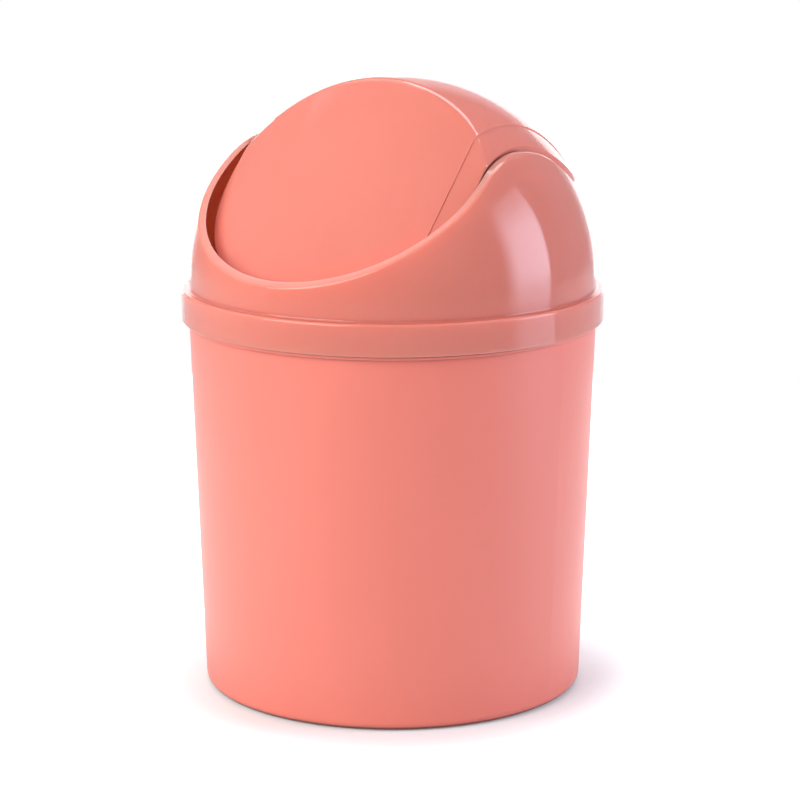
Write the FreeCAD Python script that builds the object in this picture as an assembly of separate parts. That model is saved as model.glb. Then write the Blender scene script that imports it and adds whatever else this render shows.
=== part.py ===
import FreeCAD, Part
import math
import os

# Small desktop bin with a dome lid and a two-way swing flap, in millimetres.
# Origin: centre of the base on the table. +Z is up, the flap turns about X, its front face looks to -Y.

# Bucket
base_radius = 63.2
mouth_radius = 67.6
seat_height = 124.4
bucket_wall = 1.8
base_fillet = 3.0
foot_width = 5.0
foot_height = 1.4
floor_thickness = 2.2
inside_fillet = 5.0
ledge_reach = 1.3
ledge_height = 1.3
ledge_fillet = 0.4
neck_height = 8.0
neck_wall = 1.6

# Lid: collar, shelf and dome
collar_wall = 2.4
collar_height = 10.3
collar_edge = 0.9
collar_clearance = 0.25
shelf_width = 2.4
shelf_fillet = 0.8
dome_skirt = 3.4
dome_wall = 2.0

# Saddle opening in the dome, a tent shape seen from the side
shoulder_drop = 22.8
opening_slope = 34.6
lip_height = 5.9
lip_fillet = 4.0
shoulder_fillet = 0.9

# Swing flap
flap_gap = 0.9
flap_wall = 1.7
flap_rise = 20.8
flap_edge_rise = 1.65
face_crown_radius = 182.0
face_top_rise = 0.7
face_foot_drop = 0.25
ridge_fillet = 3.6
edge_fillet = 0.5
panel_margin = 6.7
panel_step = 0.3
skirt_depth = 7.0
weight_rib_height = 8.0
weight_rib_width = 10.5
weight_rib_share = 0.55
rest_tilt = 5.0

# Hinge
pivot_drop = 6.0
pin_radius = 2.0
pin_running_clearance = 0.05
pin_push_clearance = 0.01
pin_head_radius = 3.4
pin_head_length = 1.3
pin_tip_chamfer = 0.5
pin_end_clearance = 0.5
lug_radius = 4.6
lug_side_clearance = 0.5
bore_end_wall = 2.5
tab_radius = 6.2
tab_thickness = 2.2

# Places that follow from the sizes above
SHELF_Z = seat_height + collar_height
DOME_Z = SHELF_Z + dome_skirt
NECK_R = mouth_radius - collar_clearance
NECK_TOP = seat_height + neck_height
COLLAR_INNER_R = NECK_R + collar_clearance
COLLAR_R = COLLAR_INNER_R + collar_wall
COLLAR_ROOF_Z = NECK_TOP + collar_clearance
DOME_R = COLLAR_R - shelf_width
DOME_INNER_R = DOME_R - dome_wall
SHOULDER_Z = DOME_Z + DOME_R - shoulder_drop
SLOPE = math.radians(opening_slope)
LIP_Y = math.sqrt(DOME_R ** 2 - lip_height ** 2)
LIP_FALL = LIP_Y * math.tan(SLOPE) - (SHOULDER_Z - DOME_Z - lip_height)
SHOULDER_R = LIP_FALL / (1 / math.cos(SLOPE) - 1)
BEND_Y = SHOULDER_R * math.sin(SLOPE)
BEND_Z = SHOULDER_Z - SHOULDER_R * (1 - math.cos(SLOPE))
APEX_Z = SHOULDER_Z + flap_rise
PIVOT_Z = SHOULDER_Z - pivot_drop
REACH = 2 * COLLAR_R
OUTLINE_STEPS = 6
SLACK = 0.02

X_AXIS = FreeCAD.Vector(1, 0, 0)
Y_AXIS = FreeCAD.Vector(0, 1, 0)
Z_AXIS = FreeCAD.Vector(0, 0, 1)
ORIGIN = FreeCAD.Vector(0, 0, 0)


def rz(radius, z):
    return FreeCAD.Vector(radius, 0, z)


def line(a, b):
    return Part.LineSegment(a, b).toShape()


def revolved(edges):
    face = Part.Face(Part.Wire(edges))
    return face.revolve(ORIGIN, Z_AXIS, 360)


def revolved_outline(points):
    return revolved([line(a, b) for a, b in zip(points, points[1:] + points[:1])])


def edges_at(shape, radius, z):
    # Circular edges about the Z axis with this radius and height
    found = []
    for edge in shape.Edges:
        if edge.Degenerated or not isinstance(edge.Curve, Part.Circle):
            continue
        circle = edge.Curve
        if abs(circle.Center.z - z) < SLACK and abs(circle.Radius - radius) < SLACK:
            found.append(edge)
    return found


def tent_height(y):
    # Height of the saddle opening at a distance y in front of or behind the hinge
    y = abs(y)
    if y < BEND_Y:
        drop = SHOULDER_R - math.sqrt(SHOULDER_R ** 2 - y ** 2)
        return SHOULDER_Z - drop
    return BEND_Z - (y - BEND_Y) * math.tan(SLOPE)


def above_tent(shift):
    # Everything over the tent line, which is shifted up or down by this much
    far_z = tent_height(REACH) + shift
    high_z = APEX_Z + REACH
    bend_z = BEND_Z + shift
    back = FreeCAD.Vector(-REACH, -REACH, far_z)
    back_bend = FreeCAD.Vector(-REACH, -BEND_Y, bend_z)
    peak = FreeCAD.Vector(-REACH, 0, SHOULDER_Z + shift)
    front_bend = FreeCAD.Vector(-REACH, BEND_Y, bend_z)
    front = FreeCAD.Vector(-REACH, REACH, far_z)
    front_high = FreeCAD.Vector(-REACH, REACH, high_z)
    back_high = FreeCAD.Vector(-REACH, -REACH, high_z)
    edges = [line(back, back_bend),
             Part.Arc(back_bend, peak, front_bend).toShape(),
             line(front_bend, front),
             line(front, front_high),
             line(front_high, back_high),
             line(back_high, back)]
    return Part.Face(Part.Wire(edges)).extrude(X_AXIS * (2 * REACH))


def x_cylinder(radius, x_from, x_to, z):
    low = min(x_from, x_to)
    return Part.makeCylinder(radius, abs(x_to - x_from), FreeCAD.Vector(low, 0, z), X_AXIS)


def ball(radius, centre):
    # Sphere with its poles along X and its seam at the bottom, away from the faces that are kept
    sphere = Part.makeSphere(radius)
    sphere.rotate(ORIGIN, Y_AXIS, 90)
    sphere.translate(centre)
    return sphere


# Bucket: a tapered pot with a ledge that the lid sits on and a plain neck inside the collar
def bucket():
    def outside(z):
        return base_radius + (mouth_radius - base_radius) * z / seat_height

    ledge_z = seat_height - ledge_height
    floor_z = foot_height + floor_thickness
    foot_r = base_radius - base_fillet
    outline = [rz(0, foot_height),
               rz(foot_r - foot_width, foot_height),
               rz(foot_r - foot_width, 0),
               rz(base_radius, 0),
               rz(outside(ledge_z), ledge_z),
               rz(mouth_radius + ledge_reach, ledge_z),
               rz(mouth_radius + ledge_reach, seat_height),
               rz(NECK_R, seat_height),
               rz(NECK_R, NECK_TOP),
               rz(NECK_R - neck_wall, NECK_TOP),
               rz(NECK_R - neck_wall, ledge_z),
               rz(outside(ledge_z) - bucket_wall, ledge_z),
               rz(outside(floor_z) - bucket_wall, floor_z),
               rz(0, floor_z)]
    pot = revolved_outline(outline)
    pot = pot.makeFillet(base_fillet, edges_at(pot, base_radius, 0))
    pot = pot.makeFillet(inside_fillet, edges_at(pot, outside(floor_z) - bucket_wall, floor_z))
    ledge_r = mouth_radius + ledge_reach
    ledge_edges = edges_at(pot, ledge_r, ledge_z) + edges_at(pot, ledge_r, seat_height)
    return pot.makeFillet(ledge_fillet, ledge_edges)


# Lid: collar, shelf and dome in one moulding, opened by the saddle, with two bearing lugs inside
def dome_outside(offset):
    # Solid dome whose surface lies inside the outer one by this much
    radius = DOME_R - offset
    low = rz(radius, seat_height)
    equator = rz(radius, DOME_Z)
    middle = FreeCAD.Vector(radius * math.sqrt(0.5), 0, DOME_Z + radius * math.sqrt(0.5))
    top = rz(0, DOME_Z + radius)
    foot = rz(0, seat_height)
    return revolved([line(foot, low),
                     line(low, equator),
                     Part.Arc(equator, middle, top).toShape(),
                     line(top, foot)])


def rim_edges(shape):
    # Edges along the saddle, between the dome's outer face and the cut
    found = []
    for edge in shape.Edges:
        on_rim = not edge.Degenerated
        for point in edge.discretize(5):
            from_centre = point.sub(FreeCAD.Vector(0, 0, DOME_Z)).Length
            on_sphere = abs(from_centre - DOME_R) < SLACK
            on_tent = abs(point.z - tent_height(point.y)) < SLACK
            on_rim = on_rim and on_sphere and on_tent
        if on_rim:
            found.append(edge)
    return found


def rounded_rim(body):
    # The rim is rounded broadly at the lips and finely at the shoulders, a quarter at a time
    quarter = body.common(Part.makeBox(REACH, REACH, APEX_Z, FreeCAD.Vector(0, -REACH, 0)))
    quarter = quarter.makeFillet(shoulder_fillet, lip_fillet, rim_edges(quarter))
    half = quarter.fuse(quarter.mirror(ORIGIN, X_AXIS))
    return half.fuse(half.mirror(ORIGIN, Y_AXIS)).removeSplitter()


def flap_half_width():
    return rim_half_width(0) - flap_gap


def bore_end():
    # How far out the blind bores go, short of the dome's outer face
    wall_x = math.sqrt(DOME_R ** 2 - (PIVOT_Z - DOME_Z) ** 2)
    return wall_x - bore_end_wall


def lid_dome():
    collar = Part.makeCylinder(COLLAR_R, collar_height, FreeCAD.Vector(0, 0, seat_height))
    collar = collar.makeFillet(collar_edge, edges_at(collar, COLLAR_R, SHELF_Z))
    body = collar.fuse(dome_outside(0)).removeSplitter()
    body = body.makeFillet(shelf_fillet, edges_at(body, DOME_R, SHELF_Z))
    body = body.cut(above_tent(0))
    body = rounded_rim(body)
    hollow = dome_outside(dome_wall)
    body = body.cut(hollow)
    body = body.cut(Part.makeCylinder(COLLAR_INNER_R, COLLAR_ROOF_Z - seat_height,
                                      FreeCAD.Vector(0, 0, seat_height)))
    lug_face = flap_half_width() + lug_side_clearance
    skin = dome_outside(dome_wall / 2)
    for side in (-1, 1):
        lug = x_cylinder(lug_radius, side * lug_face, side * DOME_R, PIVOT_Z).common(skin)
        body = body.fuse(lug)
    for side in (-1, 1):
        bore_radius = pin_radius + pin_running_clearance
        body = body.cut(x_cylinder(bore_radius, 0, side * bore_end(), PIVOT_Z))
    return body.removeSplitter()


# Flap: a thin roof shell with a raised middle panel, all-round skirts and hinge tabs
def rim_half_width(y):
    # Half the width of the opening between the inner edges of the rim
    squared = DOME_INNER_R ** 2 - y ** 2 - (tent_height(y) - DOME_Z) ** 2
    return math.sqrt(max(squared, 0))


def rim_front():
    # Where the inner edge of the rim crosses the middle, found by halving
    near, far = BEND_Y / 2, DOME_INNER_R
    for _ in range(50):
        middle = (near + far) / 2
        if DOME_INNER_R ** 2 - middle ** 2 - (tent_height(middle) - DOME_Z) ** 2 > 0:
            near = middle
        else:
            far = middle
    return near


def smooth_curve(points):
    curve = Part.BSplineCurve()
    curve.interpolate(Points=points)
    return curve


def rim_reach():
    # Inner edge of the rim as its distance from the hinge axis along X, from the right end to the left
    front = rim_front()
    right = []
    for step in range(OUTLINE_STEPS):
        y = front * math.sin(math.pi / 2 * step / OUTLINE_STEPS)
        reach = math.hypot(y, PIVOT_Z - tent_height(y))
        right.append(FreeCAD.Vector(rim_half_width(y), 0, PIVOT_Z - reach))
    right.insert(0, FreeCAD.Vector(right[0].x, 0, PIVOT_Z))
    middle = FreeCAD.Vector(0, 0, PIVOT_Z - math.hypot(front, PIVOT_Z - tent_height(front)))
    left = [FreeCAD.Vector(-p.x, 0, p.z) for p in reversed(right)]
    return smooth_curve(right + [middle] + left)


def swing_room(inset):
    # Round body about the hinge that clears the rim by the inset at every angle of the flap
    rim = rim_reach()
    count = 2 * OUTLINE_STEPS + 2
    drawn_in = []
    for step in range(count + 1):
        at = rim.FirstParameter + (rim.LastParameter - rim.FirstParameter) * step / count
        along = rim.tangent(at)[0]
        drawn_in.append(rim.value(at) + FreeCAD.Vector(along.z, 0, -along.x) * inset)
    drawn_in[0].z = PIVOT_Z
    drawn_in[-1].z = PIVOT_Z
    edges = [smooth_curve(drawn_in).toShape(), line(drawn_in[-1], drawn_in[0])]
    return Part.Face(Part.Wire(edges)).revolve(FreeCAD.Vector(0, 0, PIVOT_Z), X_AXIS, 360)


def face_slope():
    # Slope of the push face, from over the apex to just under the inner edge of the rim
    front = rim_front()
    return math.atan2(APEX_Z + face_top_rise - tent_height(front) + face_foot_drop, front)


def face_axis():
    # Point and direction of the axis of the large cylinder that crowns the push face
    slope = face_slope()
    outwards = FreeCAD.Vector(0, -math.sin(slope), math.cos(slope))
    top = FreeCAD.Vector(0, 0, APEX_Z + face_top_rise)
    return top - outwards * face_crown_radius, FreeCAD.Vector(0, math.cos(slope), math.sin(slope))


def under_face(depth):
    # Cylinder whose front is the push face, with its seam on the far side
    solid = Part.makeCylinder(face_crown_radius - depth, 2 * REACH, FreeCAD.Vector(0, 0, -REACH))
    solid.rotate(ORIGIN, Z_AXIS, 90)
    solid.rotate(ORIGIN, X_AXIS, math.degrees(face_slope()) - 90)
    solid.translate(face_axis()[0])
    return solid


def roof(depth):
    # Solid whose skin lies this far under the flap's outer skin: a ball cut by the push face
    sag = flap_rise - flap_edge_rise
    top_r = (flap_half_width() ** 2 + sag ** 2) / (2 * sag)
    top_centre = FreeCAD.Vector(0, 0, APEX_Z - top_r)
    solid = ball(top_r - depth, top_centre).common(under_face(depth))
    centre, along = face_axis()
    ridges = []
    for edge in solid.Edges:
        if edge.Degenerated:
            continue
        points = edge.discretize(5)
        on_top = all(abs(p.sub(top_centre).Length - top_r + depth) < SLACK for p in points)
        on_face = all(abs(p.sub(centre).cross(along).Length - face_crown_radius + depth) < SLACK
                      for p in points)
        if on_top and on_face:
            ridges.append(edge)
    return solid.makeFillet(ridge_fillet, ridges)


def rounded_outline(solid, room):
    # Rounds the edge where the skin turns into the skirts
    outline = []
    for edge in solid.Edges:
        if edge.Degenerated:
            continue
        points = edge.discretize(5)
        on_room = all(room.Shells[0].distToShape(Part.Vertex(p))[0] < SLACK for p in points)
        if on_room and max(p.z for p in points) > PIVOT_Z:
            outline.append(edge)
    return solid.makeFillet(edge_fillet, outline)


def weight_rib():
    # Rib along the inside of the front skirt, which keeps the flap's weight under its hinge
    rib = swing_room(flap_gap + flap_wall / 2).cut(swing_room(flap_gap + flap_wall + weight_rib_width))
    rib = rib.common(above_tent(-skirt_depth)).cut(above_tent(weight_rib_height - skirt_depth))
    rib = rib.common(roof(panel_step + flap_wall / 2))
    start = -weight_rib_share * rim_front()
    return rib.common(Part.makeBox(2 * REACH, REACH, APEX_Z, FreeCAD.Vector(-REACH, start - REACH, 0)))


def hinge_tab(side):
    # Round ear on a side skirt that takes the hinge pin
    outer_x = flap_half_width()
    return x_cylinder(tab_radius, side * (outer_x - tab_thickness), side * outer_x, PIVOT_Z)


def swing_flap():
    room = swing_room(flap_gap)
    half = flap_half_width() - panel_margin
    slab = Part.makeBox(2 * half, 2 * REACH, APEX_Z + REACH, FreeCAD.Vector(-half, -REACH, 0))
    panel = rounded_outline(roof(0).common(room), room).common(slab)
    outer = panel.fuse(rounded_outline(roof(panel_step).common(room), room).cut(slab))
    hollow = roof(panel_step + flap_wall).common(swing_room(flap_gap + flap_wall))
    shell = outer.cut(hollow).common(above_tent(-skirt_depth))
    shell = shell.fuse(weight_rib())
    for side in (-1, 1):
        shell = shell.fuse(hinge_tab(side).common(room))
    for side in (-1, 1):
        shell = shell.cut(x_cylinder(pin_radius + pin_push_clearance, 0, side * REACH, PIVOT_Z))
    shell.rotate(FreeCAD.Vector(0, 0, PIVOT_Z), X_AXIS, rest_tilt)
    return shell


# Hinge pin: pushed outwards through the flap's ear into the lug, with its head inside the flap
def hinge_pin(side):
    seat_x = flap_half_width() - tab_thickness
    tip_x = bore_end() - pin_end_clearance
    head = x_cylinder(pin_head_radius, side * (seat_x - pin_head_length), side * seat_x, PIVOT_Z)
    shank = x_cylinder(pin_radius, side * seat_x, side * tip_x, PIVOT_Z)
    tip = [edge for edge in shank.Edges if abs(edge.CenterOfMass.x - side * tip_x) < SLACK]
    return head.fuse(shank.makeChamfer(pin_tip_chamfer, tip)).removeSplitter()


os.makedirs("parts", exist_ok=True)
pieces = {"bucket": bucket(),
          "lid_dome": lid_dome(),
          "swing_flap": swing_flap(),
          "hinge_pin_left": hinge_pin(-1),
          "hinge_pin_right": hinge_pin(1)}
for name, shape in pieces.items():
    solid = shape.Solids[0]
    print(name, len(shape.Solids), solid.isValid(), round(solid.Volume, 1))
    solid.exportStep("parts/" + name + ".step")
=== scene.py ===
import math
import bmesh
import bpy
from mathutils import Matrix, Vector

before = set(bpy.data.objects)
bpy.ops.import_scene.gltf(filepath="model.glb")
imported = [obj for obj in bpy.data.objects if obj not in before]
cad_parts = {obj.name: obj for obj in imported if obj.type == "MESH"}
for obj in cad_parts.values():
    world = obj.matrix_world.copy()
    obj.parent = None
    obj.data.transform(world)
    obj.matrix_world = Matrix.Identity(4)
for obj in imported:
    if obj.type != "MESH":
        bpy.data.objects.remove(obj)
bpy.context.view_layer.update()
scene = bpy.context.scene
scene.view_settings.view_transform = "Standard"

# Bucket
# Tapered pot injection moulded in coral polypropylene, with a fine satin grain from the mould.
# It stands on a foot ring, and a ledge near its mouth carries the lid.
SATIN_CORAL = (0.90, 0.222, 0.170, 1.0)
DEEP_CORAL = (0.78, 0.196, 0.145, 1.0)
EDGE_HIGHLIGHT_CORAL = (0.83, 0.270, 0.215, 1.0)
CREVICE_SHADE = (0.20, 0.034, 0.026, 1.0)
CREVICE_SHADE_REACH = 0.0024
EDGE_HIGHLIGHT_WIDTH = 0.0007
EDGE_ROUGHER = 0.12
GLOW_DEPTH = 0.009
GLOW_SPREAD = (1.0, 0.75, 0.65)
GRAIN_STRENGTH = 0.35
PLASTIC_IOR = 1.49


class Sock:
    """A shader socket that Python's operators can work on."""

    def __init__(self, graph, socket):
        self.graph = graph
        self.socket = socket

    def math(self, operation, *values):
        return self.graph.node("ShaderNodeMath", {"operation": operation}, *values)

    def __add__(self, other):
        return self.math("ADD", self, other)

    __radd__ = __add__

    def __mul__(self, other):
        return self.math("MULTIPLY", self, other)

    __rmul__ = __mul__

    def __rsub__(self, other):
        return self.math("SUBTRACT", other, self)


class Graph:
    """The node tree of a material, a lamp or the world."""

    # Sockets of a mix node that carry its share and its two colours, and the mixed colour
    MIX_INPUTS = (0, 6, 7)
    MIX_OUTPUT = 2

    def __init__(self, owner):
        owner.use_nodes = True
        self.tree = owner.node_tree

    def node(self, kind, settings, *values, out=0, **named):
        made = self.tree.nodes.new(kind)
        for key, value in settings.items():
            setattr(made, key, value)
        for key, value in list(enumerate(values)) + list(named.items()):
            self.feed(made.inputs[key], value)
        return Sock(self, made.outputs[out])

    def feed(self, socket, value):
        if isinstance(value, Sock):
            self.tree.links.new(value.socket, socket)
        else:
            socket.default_value = value

    def set(self, shader, **sockets):
        for name, value in sockets.items():
            self.feed(self.tree.nodes[shader].inputs[name.replace("_", " ")], value)

    def noise(self, scale, detail=2.0, stretch=(1, 1, 1)):
        place = self.node("ShaderNodeTexCoord", {}, out="Object")
        place = self.node("ShaderNodeMapping", {}, place, Scale=stretch)
        return self.node("ShaderNodeTexNoise", {}, place, Scale=scale, Detail=detail)

    def range(self, value, low, high, to_low=0.0, to_high=1.0):
        smooth = {"interpolation_type": "SMOOTHSTEP"}
        return self.node("ShaderNodeMapRange", smooth, value, low, high, to_low, to_high)

    def blend(self, share, first, second):
        mixed = self.node("ShaderNodeMix", {"data_type": "RGBA"}, out=self.MIX_OUTPUT)
        for key, value in zip(self.MIX_INPUTS, (share, first, second)):
            self.feed(mixed.socket.node.inputs[key], value)
        return mixed

    def edges(self, width):
        # 1 along rounded and sharp edges, where a pale highlight is painted on, and 0 elsewhere
        soft = self.node("ShaderNodeBevel", {"samples": 6}, Radius=width)
        sharp = self.node("ShaderNodeNewGeometry", {}, out="Normal")
        turn = self.node("ShaderNodeVectorMath", {"operation": "DOT_PRODUCT"}, soft, sharp, out="Value")
        return self.range(1 - turn, low=0.01, high=0.16)


def plastic(name, tone, glow, roughness, grain, grain_depth, edge_sheen):
    # Solid-coloured polypropylene that glows a little where light comes through a thin wall
    material = bpy.data.materials.new(name)
    graph = Graph(material)
    flow = graph.noise(scale=16.0, detail=3.0, stretch=(1, 1, 0.35))
    speck = graph.noise(scale=grain)
    edge_highlight = graph.edges(EDGE_HIGHLIGHT_WIDTH) * edge_sheen
    hidden = graph.node("ShaderNodeAmbientOcclusion", {"samples": 6}, Distance=CREVICE_SHADE_REACH, out="AO")
    tint = graph.blend(graph.range(flow, low=0.3, high=0.7, to_high=0.55), tone, DEEP_CORAL)
    # Painted shade: the colour darkens to deep red in creases and in the gaps between parts, where the
    # occlusion node finds little open space
    tint = graph.blend(graph.range(hidden, low=0.38, high=0.74, to_low=1.0, to_high=0.0), tint, CREVICE_SHADE)
    # Painted highlight: the colour turns pale along rounded and sharp edges
    tint = graph.blend(edge_highlight, tint, EDGE_HIGHLIGHT_CORAL)
    smudge = graph.noise(scale=38.0, detail=4.0)
    smudge = graph.range(smudge, low=0.25, high=0.75, to_low=-0.02, to_high=0.02)
    polish = smudge + roughness + edge_highlight * EDGE_ROUGHER
    relief = graph.node("ShaderNodeBump", {}, Strength=GRAIN_STRENGTH, Distance=grain_depth, Height=speck)
    graph.set("Principled BSDF", Base_Color=tint, Roughness=polish, Normal=relief, IOR=PLASTIC_IOR,
              Subsurface_Weight=glow, Subsurface_Radius=GLOW_SPREAD, Subsurface_Scale=GLOW_DEPTH)
    return material


def dress(node, material):
    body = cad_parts[node]
    body.data.materials.clear()
    body.data.materials.append(material)


satin = plastic("bucket_satin", tone=SATIN_CORAL, glow=0.1, roughness=0.38,
                grain=2600.0, grain_depth=0.00006, edge_sheen=0.5)
dress("bucket", satin)

# Lid
# Collar and dome are one moulding in the same plastic, from a polished mould.
# It sits on the bucket's ledge and lifts off.
CORAL = (0.86, 0.230, 0.177, 1.0)
lid_gloss = plastic("lid_gloss", tone=CORAL, glow=0.75, roughness=0.09,
                    grain=420.0, grain_depth=0.00001, edge_sheen=0.35)
dress("lid_dome", lid_gloss)

# Flap
# Thin polished moulding with one slanted push face and a raised middle panel.
# It turns on its pins between the dome's shoulders.
flap_gloss = plastic("flap_gloss", tone=CORAL, glow=0.4, roughness=0.09,
                     grain=520.0, grain_depth=0.00001, edge_sheen=0.35)
dress("swing_flap", flap_gloss)

# Hinge pins
# Headed pins in the same plastic, left as they come from the mould.
# They are pushed outwards through the flap's ears into the lid's lugs.
pin_plain = plastic("pin_plain", tone=CORAL, glow=0.15, roughness=0.34,
                    grain=1800.0, grain_depth=0.00003, edge_sheen=0.3)
for pin in ("hinge_pin_left", "hinge_pin_right"):
    dress(pin, pin_plain)

# Floor
# White round table top that the bin stands on.
# It shows the bin's shadow close to the foot and fades to white further out.
TABLE_RADIUS = 0.5
TABLE_SIDES = 128
TABLE_GREY = 0.6
SEEN_LIFT = 0.18
FOOT_RADIUS = 0.066
FOOT_LEVEL = 0.16
SHADOW_REACH = 0.112
paper = bpy.data.materials.new("table_white")
graph = Graph(paper)
seen = graph.node("ShaderNodeLightPath", {}, out="Is Camera Ray")
mirrored = graph.node("ShaderNodeLightPath", {}, out="Is Glossy Ray")
place = graph.node("ShaderNodeTexCoord", {}, out="Object")
away = graph.node("ShaderNodeVectorMath", {"operation": "LENGTH"}, place, out="Value")
fade = graph.range(away, FOOT_RADIUS, SHADOW_REACH, to_low=FOOT_LEVEL)
graph.set("Principled BSDF", Base_Color=TABLE_GREY + seen * SEEN_LIFT, Roughness=0.7,
          Emission_Strength=1.0, Emission_Color=seen.math("MAXIMUM", seen, mirrored) * fade)
shape = bmesh.new()
bmesh.ops.create_circle(shape, cap_ends=True, radius=TABLE_RADIUS, segments=TABLE_SIDES)
floor = bpy.data.objects.new("floor", bpy.data.meshes.new("floor"))
shape.to_mesh(floor.data)
shape.free()
scene.collection.objects.link(floor)
floor.data.materials.append(paper)

# Light
# A grey room with a white backdrop. A large soft lamp stands at the left with two weak panels
# further round, a tall faded lamp at the right, a low one behind and a narrow one overhead.
AIM = Vector((0, 0, 0.13))
CAMERA_TURN = 35.7
WHITE = (1, 1, 1)
WARM_WHITE = (1, 1, 0.97)
COOL_WHITE = (0.84, 1, 1.08)
LILAC_WHITE = (0.90, 0.92, 1.14)


def stand(turn, rise, distance):
    # A place round the bin, by its turn to the right of the camera and its rise over the bin's middle
    turn = math.radians(CAMERA_TURN + turn)
    rise = math.radians(rise)
    flat = distance * math.cos(rise)
    return AIM + Vector((flat * math.sin(turn), -flat * math.cos(turn), distance * math.sin(rise)))


def softbox(name, turn, rise, distance, width, height, level, tint=WHITE, fade=0.0):
    # A lamp that faces the bin. A fade dims one side over that share of its width, and both its ends.
    lamp = bpy.data.lights.new(name, "AREA")
    lamp.shape = "RECTANGLE"
    lamp.size = width
    lamp.size_y = height
    lamp.energy = level * math.pi * width * height
    lamp.color = tint
    if fade:
        graph = Graph(lamp)
        place = graph.node("ShaderNodeNewGeometry", {}, out="Parametric")
        across = graph.node("ShaderNodeSeparateXYZ", {}, place, out="X")
        upward = graph.node("ShaderNodeSeparateXYZ", {}, place, out="Y")
        side = graph.range(across, low=0.0, high=fade)
        foot = graph.range(upward, low=0.10, high=0.45, to_low=0.22)
        head = graph.range(upward, low=0.65, high=1.0, to_low=1.0, to_high=0.25)
        graph.set("Emission", Strength=side * (foot * head))
    thing = bpy.data.objects.new(name, lamp)
    thing.visible_camera = False
    thing.location = stand(turn, rise, distance)
    thing.rotation_euler = (AIM - thing.location).to_track_quat("-Z", "Y").to_euler()
    scene.collection.objects.link(thing)


softbox("key_left", turn=-48, rise=27, distance=0.95, width=0.74, height=0.74, level=5.1, tint=WARM_WHITE)
softbox("panel_left", turn=-100, rise=22, distance=1.5, width=0.9, height=0.9, level=0.5)
softbox("panel_high", turn=-138, rise=56, distance=1.5, width=0.7, height=0.7, level=1.2)
softbox("strip_right", turn=79, rise=9, distance=1.2, width=0.74, height=1.25, level=6.0,
        tint=LILAC_WHITE, fade=0.40)
softbox("low_back", turn=180, rise=4, distance=1.1, width=1.1, height=0.55, level=1.1)
softbox("overhead", turn=168, rise=68, distance=1.3, width=1.0, height=0.42, level=5.2, tint=COOL_WHITE)

# Room
# Plain white to the camera and dim grey to the bin's surfaces.
# Mirrored and transmitted rays also see a white backdrop behind the bin and a paler table below.
ROOM_LEVEL = 0.34
ROOM_TINT = (0.95, 1, 1.06, 1)
SEEN_WHITE = (1, 1, 1, 1)
TABLE_LEVEL = 0.7
world = bpy.data.worlds.new("white_room")
scene.world = world
graph = Graph(world)
seen = graph.node("ShaderNodeLightPath", {}, out="Is Camera Ray")
mirrored = graph.node("ShaderNodeLightPath", {}, out="Is Glossy Ray")
through = graph.node("ShaderNodeLightPath", {}, out="Is Transmission Ray")
way = graph.node("ShaderNodeTexCoord", {}, out="Generated")
back = stand(turn=180, rise=0, distance=1.0) - AIM
behind = graph.node("ShaderNodeVectorMath", {"operation": "DOT_PRODUCT"}, way, tuple(back), out="Value")
backdrop = graph.range(behind, low=0.80, high=0.93)
upward = graph.node("ShaderNodeSeparateXYZ", {}, way, out="Z")
table = graph.range(upward, low=-0.16, high=-0.08, to_low=TABLE_LEVEL, to_high=0.0)
white = backdrop.math("MAXIMUM", backdrop, table)
bright = seen.math("MAXIMUM", seen, mirrored.math("MAXIMUM", mirrored, through) * white)
graph.set("Background", Color=graph.blend(seen, ROOM_TINT, SEEN_WHITE),
          Strength=ROOM_LEVEL + bright * (1 - ROOM_LEVEL))

# Camera
# A long lens a little above the bin, with its place fitted to the outlines in the photograph.
# Lengths are in metres, and the lens is in pixels of the photograph.
PHOTO_SIDE = 800
SENSOR_MM = 36.0
FOCAL_PX = 3053.9
AXIS_PX = 392.74
CAMERA_DISTANCE = 0.9985
CAMERA_HEIGHT = 0.3182
AIM_HEIGHT = 0.0953
turn = math.radians(CAMERA_TURN)
eye = Vector((CAMERA_DISTANCE * math.sin(turn), -CAMERA_DISTANCE * math.cos(turn), CAMERA_HEIGHT))
aim = Vector((0, 0, AIM_HEIGHT))
right = Vector((math.cos(turn), math.sin(turn), 0))
aim = aim + right * ((PHOTO_SIDE / 2 - AXIS_PX) / FOCAL_PX * (eye - aim).length)
camera = bpy.data.objects.new("camera", bpy.data.cameras.new("camera"))
scene.collection.objects.link(camera)
camera.data.sensor_width = SENSOR_MM
camera.data.lens = FOCAL_PX * SENSOR_MM / PHOTO_SIDE
camera.data.clip_start = 0.01
camera.location = eye
camera.rotation_euler = (aim - eye).to_track_quat("-Z", "Y").to_euler()
scene.camera = camera
